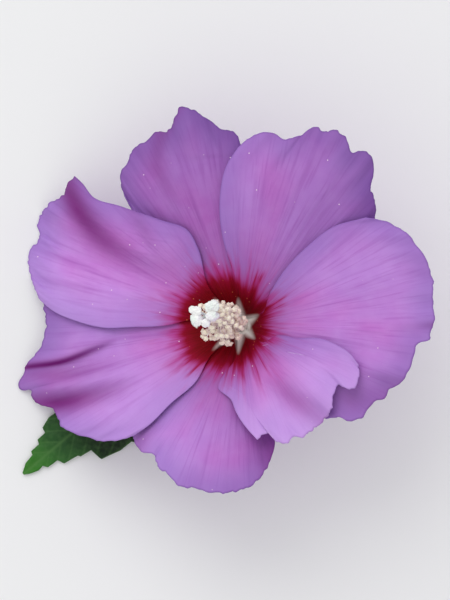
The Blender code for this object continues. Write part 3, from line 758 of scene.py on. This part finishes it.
def add_bractlet(index, material):
    """One narrow leaflet of the ring below the calyx, with a keel along its middle."""
    rng = np.random.default_rng(20 + index)
    share = np.linspace(0, 1, BRACTLET_GRID[0])
    path = curve_through(BRACTLET_PATH, BRACTLET_GRID[0])
    angle = 2 * math.pi * (index + 0.5) / BRACTLETS + 0.05 * np.sin(3 * share + rng.uniform(0, 6)) * share
    middle = axis_points(path[:, 0], path[:, 1], angle)
    sideways = axis_points(0, 1, angle + math.pi / 2) - np.array(THROAT)
    outward = np.cross(sideways, np.gradient(middle, axis=0))
    across = np.linspace(-1, 1, BRACTLET_GRID[1] + 1)[:, None, None]
    widths = np.interp(share, *zip(*BRACTLET_WIDTHS))[:, None] / 2
    points = middle + across * widths * sideways + 0.25 * widths * across**2 * unit(outward)
    vein = np.exp(-((across[..., 0] / 0.25) ** 2)) * np.ones_like(share)
    attributes = {"vein": vein, "reach": share + 0 * vein}
    obj = make_piece(f"bractlet_blade_{index + 1}", points, grid_faces(*points.shape[:2]), attributes)
    finish(obj, material, f"bractlet_{index + 1}")
    thicken(obj, BRACTLET_THICKNESS)


def ridged(rng, radii, grid, depth):
    """Radii of a stem with lengthwise ridges and slow swellings, as rows of rings."""
    along = np.linspace(0, 1, grid[0])[:, None]
    around = np.linspace(0, 1, grid[1], endpoint=False)[None, :]
    drift = around + 0.03 * np.sin(2 * np.pi * (2 * along + rng.random()))
    relief = waves(rng, drift, (3, 7, 13), (0.5, 0.3, 0.25))
    relief = relief + waves(rng, along + 0.2 * around, (9, 23), (0.3, 0.2))
    return radii[:, None] + depth * relief


def capped(points):
    """A tube's rings with a flat end on each side, and each ring's share of the cut."""
    shares = (0.93, 0.6, 0.25, 0.0)
    first, last = points[0].mean(axis=0), points[-1].mean(axis=0)
    start = [first + (points[0] - first) * share for share in shares[::-1]]
    end = [last + (points[-1] - last) * share for share in shares]
    return np.concatenate([start, points, end]), [*shares[::-1], *[2] * len(points), *shares]


LENTICELS = 34


def add_twig(material):
    """A short piece of woody twig with ridges, lenticels and two cut ends."""
    rng = np.random.default_rng(10)
    path = curve_through(TWIG, TWIG_GRID[0])
    radii = ridged(rng, path[:, 3], TWIG_GRID, 0.05)
    rows, columns = np.meshgrid(*(np.arange(n) for n in TWIG_GRID), indexing="ij")
    spots = np.zeros(TWIG_GRID)
    for _ in range(LENTICELS):
        row, column = rng.integers(6, TWIG_GRID[0] - 6), rng.integers(0, TWIG_GRID[1])
        apart = np.abs((columns - column + TWIG_GRID[1] // 2) % TWIG_GRID[1] - TWIG_GRID[1] // 2)
        spots = np.maximum(spots, np.exp(-(((rows - row) / 2.0) ** 2) - (apart / 1.2) ** 2))
    points, cut = capped(swept(path[:, :3], radii + 0.08 * spots, TWIG_GRID[1]))
    ends = np.zeros((4, TWIG_GRID[1]))
    attributes = {
        "cut": np.repeat(cut, TWIG_GRID[1]),
        "spot": np.concatenate([ends, spots, ends]),
    }
    obj = make_piece("twig_bark", points, grid_faces(*points.shape[:2], True), attributes)
    finish(obj, material, "twig")


def add_pedicel(material):
    """The flower's stalk, which swells under the calyx and bends down to the twig."""
    tip = [(*axis_points(along, 0, 0), radius) for along, radius in PEDICEL_TIP]
    path = curve_through(tip + PEDICEL_BEND, PEDICEL_GRID[0])
    radii = ridged(np.random.default_rng(11), path[:, 3], PEDICEL_GRID, 0.03)
    points, _ = capped(swept(path[:, :3], radii, PEDICEL_GRID[1]))
    obj = make_piece("pedicel_stalk", points, grid_faces(*points.shape[:2], True))
    finish(obj, material, "pedicel")


def leaf_veins(s, t):
    """Distance to the nearest side vein, and to the midrib, from points of the leaf's plan."""
    side = np.full(s.shape, np.inf)
    for start in SIDE_VEINS:
        bend = SIDE_VEIN_SLOPE * (s - start) - 0.012 * (s - start) ** 2
        apart = np.abs(np.abs(t) - bend) * 0.75
        side = np.where(s >= start - 0.5, np.minimum(side, apart), side)
    return side, np.abs(t)


def leaf_height(s, t):
    arch = 0.75 * np.sin(np.pi * np.clip(s / LEAF_LENGTH, 0, 1))
    wave = 0.25 * np.sin(0.55 * s) * np.clip(np.abs(t) / 10, 0, 1)
    return 0.45 + arch - 0.10 * np.clip(np.abs(t), 0, 8) * arch + wave


def add_leaf(materials):
    """The toothed blade with its sunken veins, and the petiole that carries it."""
    rng = np.random.default_rng(12)
    s = np.linspace(0, LEAF_LENGTH, LEAF_GRID[1] + 1)
    right, left = (np.interp(s, *zip(*side)) for side in (LEAF_RIGHT, LEAF_LEFT))
    share = np.linspace(-1, 1, LEAF_GRID[0] + 1)[:, None]
    t = np.where(share > 0, share * right, share * left)
    s = np.broadcast_to(s, t.shape)
    side, middle = leaf_veins(s, t)
    quilt = 0.22 * smoothstep(0, 1.6, side) * smoothstep(0, 1.6, middle) * smoothstep(1, 0.8, np.abs(share))
    crinkle = 0.05 * waves(rng, s / LEAF_LENGTH + 0.02 * t, (17, 29), (1, 0.6)) * np.abs(share)
    base, tip = np.array(LEAF_BASE), np.array(LEAF_TIP)
    ahead = unit(tip - base)
    plan = base + s[..., None] * ahead + t[..., None] * np.array([-ahead[1], ahead[0]])
    points = np.concatenate([plan, (leaf_height(s, t) + quilt + crinkle)[..., None]], axis=-1)
    attributes = {
        "vein": np.maximum(0.6 * np.exp(-((side / 0.22) ** 2)), np.exp(-((middle / 0.4) ** 2))),
        "reach": s / LEAF_LENGTH,
        "rim": 1 - np.abs(share) + 0 * s,
    }
    blade = make_piece("leaf_blade", points, grid_faces(*points.shape[:2])[:, ::-1], attributes)
    finish(blade, materials[0], "leaf")
    thicken(blade, LEAF_THICKNESS, materials[1])
    path = curve_through(PETIOLE, PETIOLE_GRID[0])
    radii = ridged(rng, path[:, 3], PETIOLE_GRID, 0.02)
    points, _ = capped(swept(path[:, :3], radii, PETIOLE_GRID[1]))
    petiole = make_piece("leaf_petiole", points, grid_faces(*points.shape[:2], True))
    finish(petiole, materials[2], "leaf")


# --- Materials ---


class Nodes:
    """Short calls to build a material's node tree."""

    def __init__(self, name, roughness, **constants):
        self.material = bpy.data.materials.new(name)
        self.material.use_nodes = True
        self.tree = self.material.node_tree
        self.shader = self.tree.nodes["Principled BSDF"]
        self.shader.inputs["Roughness"].default_value = roughness
        for key, value in constants.items():
            self.shader.inputs[key.replace("_", " ")].default_value = value

    def put(self, kind, inputs=None, **settings):
        node = self.tree.nodes.new(kind)
        for key, value in settings.items():
            setattr(node, key, value)
        for key, value in (inputs or {}).items():
            self.set(node.inputs[key], value)
        return node

    def set(self, socket, value):
        if isinstance(value, bpy.types.NodeSocket):
            self.tree.links.new(value, socket)
        else:
            socket.default_value = value

    def attribute(self, name):
        return self.put("ShaderNodeAttribute", attribute_name=name).outputs["Fac"]

    def math(self, operation, a, b=0.0):
        return self.put("ShaderNodeMath", {0: a, 1: b}, operation=operation).outputs[0]

    def ramp(self, value, low, high, out_low=0.0, out_high=1.0):
        inputs = {"Value": value, "From Min": low, "From Max": high, "To Min": out_low, "To Max": out_high}
        return self.put("ShaderNodeMapRange", inputs, interpolation_type="SMOOTHSTEP").outputs[0]

    def mix(self, share, a, b, blend="MIX"):
        node = self.put("ShaderNodeMix", data_type="RGBA", blend_type=blend)
        for socket, value in zip((node.inputs[0], node.inputs[6], node.inputs[7]), (share, a, b)):
            self.set(socket, value)
        return node.outputs[2]

    def noise(self, vector, scale, detail=2.0, roughness=0.5):
        inputs = {"Vector": vector, "Scale": scale, "Detail": detail, "Roughness": roughness}
        return self.put("ShaderNodeTexNoise", inputs).outputs["Fac"]

    def specks(self, vector, scale, size):
        """1 in sparse small round spots."""
        spots = self.put("ShaderNodeTexVoronoi", {"Vector": vector, "Scale": scale})
        return self.ramp(spots.outputs["Distance"], size / 2, size, 1, 0)

    def stretched(self, vector, scale):
        return self.put("ShaderNodeMapping", {"Vector": vector, "Scale": scale}).outputs[0]

    def bump(self, height, strength, distance):
        inputs = {"Height": height, "Strength": strength, "Distance": distance * MM}
        normal = self.put("ShaderNodeBump", inputs).outputs[0]
        self.set(self.shader.inputs["Normal"], normal)

    def colour(self, value):
        self.set(self.shader.inputs["Base Color"], value)
        return self.material


LILAC = rgb(194, 140, 220)
PINK = rgb(198, 122, 208)
PALE = rgb(216, 172, 238)
# Painted shade: the deep end of the petal tone, partly the petal's own deeper colour and partly shade where
# it turns from the light.
DEEP_AND_SHADED = (0.47, 0.36, 0.52, 1)  # what the deepest parts of a petal are multiplied by
FLUSH = rgb(184, 84, 160)
VEIN = rgb(156, 80, 172)
MARGIN = rgb(150, 120, 196)
EDGE = rgb(120, 86, 165)
# Painted shade: the darker magenta laid on the folds' steep flanks and troughs.
CREASE_SHADE = rgb(122, 32, 118)
HALO = rgb(174, 44, 126)
EYE_DARK = rgb(98, 1, 9)
EYE_RED = rgb(130, 2, 20)
EYE_RIM = rgb(146, 6, 46)
STAR = rgb(255, 255, 250)
DUST = rgb(190, 96, 60)
GRAIN = rgb(240, 214, 232)


def petal_material():
    """Lilac petal with magenta streaks, bluish margins, a dark red eye and a pale star, with painted shade
    in its creases, and painted shade and painted light where petals turn from or towards the light.
    """
    m = Nodes("petal", 0.6, Specular_IOR_Level=0.07)
    fan = m.put("ShaderNodeUVMap", uv_map="UVMap").outputs[0]
    place = m.put("ShaderNodeTexCoord").outputs["Object"]
    eye, rim = m.attribute("eye"), m.attribute("rim")
    broad = m.noise(m.stretched(fan, (2.2, 1.3, 1)), 1.0, 2)
    veins = m.noise(m.stretched(fan, (16, 0.8, 1)), 1.0, 2)
    fine = m.noise(m.stretched(fan, (60, 2.5, 1)), 1.0, 2)
    mottle = m.noise(place, 260, 4)
    colour = m.mix(m.ramp(broad, 0.35, 0.7), LILAC, PINK)
    tone = m.attribute("tone")
    colour = m.mix(m.ramp(mottle, 0.35, 0.7, 0, 0.15), colour, PALE)
    colour = m.mix(m.ramp(eye, 0, 17, 0.5, 0), colour, FLUSH)
    colour = m.mix(m.ramp(veins, 0.5, 0.75, 0, 0.35), colour, VEIN)
    colour = m.mix(m.ramp(fine, 0.5, 0.7, 0, 0.25), colour, VEIN)
    colour = m.mix(m.ramp(rim, 0, 9, 0.6, 0), colour, MARGIN)
    colour = m.mix(m.ramp(rim, 0, 0.6, 0.35, 0), colour, EDGE)
    # Painted light: where the tone is below 0, lit lobes and petals turn paler.
    colour = m.mix(m.math("MULTIPLY", tone, -1), colour, PALE)
    # Painted shade: where the tone is above 0, petals and margins that turn from the light get darker,
    # partly their own deeper colour.
    colour = m.mix(tone, colour, DEEP_AND_SHADED, "MULTIPLY")
    # Painted shade on the folds' steep flanks and troughs.
    colour = m.mix(m.attribute("crease_shade"), colour, CREASE_SHADE)
    tongues = m.noise(m.stretched(fan, (8, 2, 1)), 1.0, 3)
    threads = m.ramp(m.noise(m.stretched(fan, (19, 3, 1)), 1.0, 2), 0.5, 0.72)
    lobes = m.ramp(m.noise(m.stretched(fan, (2.5, 0.1, 1)), 1.0, 1), 0.3, 0.7, 0.8, -0.8)
    outline = m.math("ADD", eye, lobes)
    colour = m.mix(m.math("MULTIPLY", threads, m.ramp(eye, 0, 14, 0.4, 0)), colour, HALO)
    halo = m.math("ADD", outline, m.ramp(tongues, 0.35, 0.7, 1.0, -2.5))
    colour = m.mix(m.ramp(halo, -1, 5.5, 0.85, 0), colour, HALO)
    colour = m.mix(m.math("MULTIPLY", threads, m.ramp(halo, 0, 4, 0.85, 0)), colour, EYE_RIM)
    edge = m.math("ADD", outline, m.ramp(tongues, 0.35, 0.7, 0.5, -1.0))
    red = m.mix(m.ramp(edge, -4, 0.5), m.mix(m.ramp(fine, 0.3, 0.7), EYE_DARK, EYE_RED), EYE_RIM)
    colour = m.mix(m.ramp(edge, -1.4, 1.6, 1, 0), colour, red)
    dust = m.math("MULTIPLY", m.specks(place, 700, 0.13), m.ramp(eye, -2, 0, 1, 0))
    colour = m.mix(dust, colour, DUST)
    colour = m.mix(m.attribute("star"), colour, STAR)
    colour = m.mix(m.specks(place, 260, 0.05), colour, GRAIN)
    relief = m.math("ADD", m.math("MULTIPLY", veins, 0.7), m.math("MULTIPLY", fine, 0.3))
    m.bump(relief, 0.25, 0.2)
    return m.colour(colour)


def petal_back_material():
    """Back of a petal: paler and more veined, greenish white at the claw."""
    m = Nodes("petal_back", 0.65, Specular_IOR_Level=0.2)
    fan = m.put("ShaderNodeUVMap", uv_map="UVMap").outputs[0]
    eye = m.attribute("eye")
    veins = m.noise(m.stretched(fan, (22, 0.8, 1)), 1.0, 3)
    broad = m.noise(m.stretched(fan, (2.2, 1.3, 1)), 1.0, 2)
    colour = m.mix(m.ramp(broad, 0.35, 0.7), rgb(196, 158, 218), rgb(188, 138, 208))
    colour = m.mix(m.ramp(veins, 0.5, 0.7, 0, 0.45), colour, rgb(150, 96, 172))
    colour = m.mix(m.ramp(eye, -2, 9, 0.7, 0), colour, rgb(160, 84, 134))
    colour = m.mix(m.ramp(eye, -7, -2, 1, 0), colour, rgb(206, 206, 176))
    m.bump(veins, 0.4, 0.3)
    return m.colour(colour)


def stalk_material():
    """Filaments and column: white with a breath of pink."""
    m = Nodes("filament", 0.5)
    place = m.put("ShaderNodeTexCoord").outputs["Object"]
    return m.colour(m.mix(m.noise(place, 400, 3), rgb(244, 238, 230), rgb(236, 216, 216)))


def anther_material(name, cream, blushed, scale):
    """Anthers or pollen: cream at the column's tip and pinkish towards its foot."""
    m = Nodes(name, 0.75)
    place = m.put("ShaderNodeTexCoord").outputs["Object"]
    grain = m.noise(place, scale, 3)
    colour = m.mix(m.attribute("blush"), cream, blushed)
    colour = m.mix(m.ramp(grain, 0.4, 0.7, 0, 0.18), colour, rgb(226, 200, 166))
    m.bump(grain, 0.5, 0.05)
    return m.colour(colour)


def stigma_material():
    """White velvety stigmas with a lilac or greenish shade in places."""
    m = Nodes("stigma", 0.7, Sheen_Weight=0.3)
    place = m.put("ShaderNodeTexCoord").outputs["Object"]
    lilac, green = m.noise(place, 350, 2), m.noise(place, 240, 1)
    colour = m.mix(m.ramp(lilac, 0.5, 0.75, 0, 0.4), rgb(250, 250, 248), rgb(220, 210, 232))
    colour = m.mix(m.ramp(green, 0.45, 0.6, 0.55, 0), colour, rgb(222, 238, 228))
    m.bump(m.noise(place, 2500, 2), 0.4, 0.05)
    return m.colour(colour)


def green_material(name, deep, light, vein_colour, roughness):
    """Downy green skin of the calyx and bractlets, paler along its veins."""
    m = Nodes(name, roughness, Sheen_Weight=0.25)
    place = m.put("ShaderNodeTexCoord").outputs["Object"]
    mottle, down = m.noise(place, 220, 4), m.noise(place, 1600, 3, 0.7)
    colour = m.mix(m.ramp(mottle, 0.3, 0.7), deep, light)
    colour = m.mix(m.ramp(down, 0.5, 0.8, 0, 0.3), colour, vein_colour)
    colour = m.mix(m.math("MULTIPLY", m.attribute("vein"), 0.6), colour, vein_colour)
    m.bump(down, 0.5, 0.08)
    return m.colour(colour)


def bark_material():
    """Grey-brown bark with pale lenticels, and cut ends of pale wood round a pith."""
    m = Nodes("bark", 0.85)
    place = m.put("ShaderNodeTexCoord").outputs["Object"]
    cracks = m.noise(m.stretched(place, (900, 160, 900)), 1.0, 4, 0.65)
    patches = m.noise(place, 180, 3)
    bark = m.mix(m.ramp(cracks, 0.35, 0.7), rgb(92, 82, 62), rgb(142, 130, 104))
    bark = m.mix(m.ramp(patches, 0.45, 0.7, 0, 0.6), bark, rgb(106, 108, 72))
    bark = m.mix(m.ramp(m.attribute("spot"), 0.3, 0.8, 0, 0.8), bark, rgb(186, 172, 142))
    cut = m.attribute("cut")
    fibres = m.noise(place, 2500, 3)
    wood = m.mix(m.ramp(fibres, 0.35, 0.7), rgb(214, 198, 150), rgb(188, 166, 116))
    wood = m.mix(m.ramp(cut, 0.12, 0.3, 1, 0), wood, rgb(150, 128, 88))
    wood = m.mix(m.ramp(cut, 0.8, 0.95), wood, rgb(96, 110, 60))
    m.bump(cracks, 0.6, 0.15)
    return m.colour(m.mix(m.ramp(cut, 1.0, 1.3), wood, bark))


def leaf_material(name, deep, light, vein_colour, roughness):
    """Leaf blade: satin green, lighter along the veins, with painted light towards the tip, a painted
    highlight along the margin and painted shadow towards the base.
    """
    m = Nodes(name, roughness, Specular_IOR_Level=0.25)
    place = m.put("ShaderNodeTexCoord").outputs["Object"]
    mottle, cells = m.noise(place, 160, 3), m.noise(place, 900, 3)
    colour = m.mix(m.ramp(mottle, 0.3, 0.7), deep, light)
    reach = m.attribute("reach")
    # Painted light: brighter, yellower green towards the tip, which lies in full light.
    colour = m.mix(m.ramp(reach, 0.75, 1.0, 0, 0.6), colour, rgb(54, 132, 18))
    # Painted shadow: much darker towards the blade's base, where the flower's shadow falls.
    colour = m.mix(m.ramp(reach, 0.6, 0.78, 0.85, 0), colour, rgb(9, 22, 6))
    colour = m.mix(m.ramp(cells, 0.4, 0.7, 0, 0.15), colour, vein_colour)
    colour = m.mix(m.math("MULTIPLY", m.attribute("vein"), 0.4), colour, vein_colour)
    # Painted highlight: lighter along the margin.
    colour = m.mix(m.ramp(m.attribute("rim"), 0, 0.05, 0.4, 0), colour, vein_colour)
    m.bump(m.math("ADD", cells, m.math("MULTIPLY", m.attribute("vein"), -0.6)), 0.35, 0.12)
    return m.colour(colour)


# --- Set ---

CAMERA_HEIGHT = 2.5
VIEW_HEIGHT = 0.150  # height of the view at the level of the petals
PETAL_LEVEL = 0.020

KEY_POWER = 24.0
KEY_SIZE = 2.4
KEY_PLACE = (-0.8, 1.9, 2.0)
SKY_COLOUR = (0.98, 0.985, 1.0, 1)
SKY_STRENGTH = 0.83
FLOOR_HALF = 3.0


def add_camera():
    data = bpy.data.cameras.new("camera")
    data.sensor_width = 36
    data.lens = data.sensor_width * (CAMERA_HEIGHT - PETAL_LEVEL) / VIEW_HEIGHT
    camera = bpy.data.objects.new("camera", data)
    camera.location = (0, 0, CAMERA_HEIGHT)
    bpy.context.scene.collection.objects.link(camera)
    bpy.context.scene.camera = camera


def add_light(name, power, size, place):
    data = bpy.data.lights.new(name, "AREA")
    data.energy = power
    data.shape = "DISK"
    data.size = size
    light = bpy.data.objects.new(name, data)
    light.location = place
    light.rotation_mode = "QUATERNION"
    light.rotation_quaternion = (-Vector(place)).to_track_quat("-Z", "Y")
    bpy.context.scene.collection.objects.link(light)


def add_set():
    add_light("key", KEY_POWER, KEY_SIZE, KEY_PLACE)
    world = bpy.data.worlds.new("studio")
    world.use_nodes = True
    background = world.node_tree.nodes["Background"]
    background.inputs["Color"].default_value = SKY_COLOUR
    background.inputs["Strength"].default_value = SKY_STRENGTH
    bpy.context.scene.world = world
    bpy.context.scene.view_settings.view_transform = "Standard"


def floor_material():
    m = Nodes("floor", 0.9)
    coordinates = m.put("ShaderNodeTexCoord").outputs["Object"]
    return m.colour(m.mix(m.noise(coordinates, 9), rgb(237, 237, 237), rgb(240, 240, 240)))


def add_floor():
    mesh = bpy.data.meshes.new("floor")
    corners = [(-1, -1), (1, -1), (1, 1), (-1, 1)]
    mesh.from_pydata([(FLOOR_HALF * x, FLOOR_HALF * y, 0) for x, y in corners], [], [(0, 1, 2, 3)])
    mesh.materials.append(floor_material())
    floor = bpy.data.objects.new("floor", mesh)
    bpy.context.scene.collection.objects.link(floor)


def main():
    add_camera()
    add_set()
    add_floor()
    skin, back = petal_material(), petal_back_material()
    for index, petal in enumerate(PETALS):
        add_petal(index, petal, skin, back)
    anther = anther_material("anther", rgb(255, 248, 226), rgb(250, 222, 210), 900)
    pollen = anther_material("pollen", rgb(255, 250, 234), rgb(252, 234, 226), 1500)
    add_stamens((stalk_material(), anther, pollen))
    add_pistil(stigma_material())
    green = green_material("sepal", rgb(74, 104, 44), rgb(108, 138, 66), rgb(150, 168, 104), 0.7)
    add_calyx(green)
    for index in range(BRACTLETS):
        add_bractlet(index, green)
    add_pedicel(green)
    add_twig(bark_material())
    blade = leaf_material("leaf", rgb(30, 74, 28), rgb(46, 94, 40), rgb(84, 128, 66), 0.55)
    under = leaf_material("leaf_back", rgb(98, 128, 82), rgb(112, 142, 92), rgb(150, 172, 122), 0.7)
    petiole = leaf_material("petiole", rgb(88, 120, 56), rgb(112, 142, 72), rgb(142, 164, 100), 0.6)
    add_leaf((blade, under, petiole))


main()
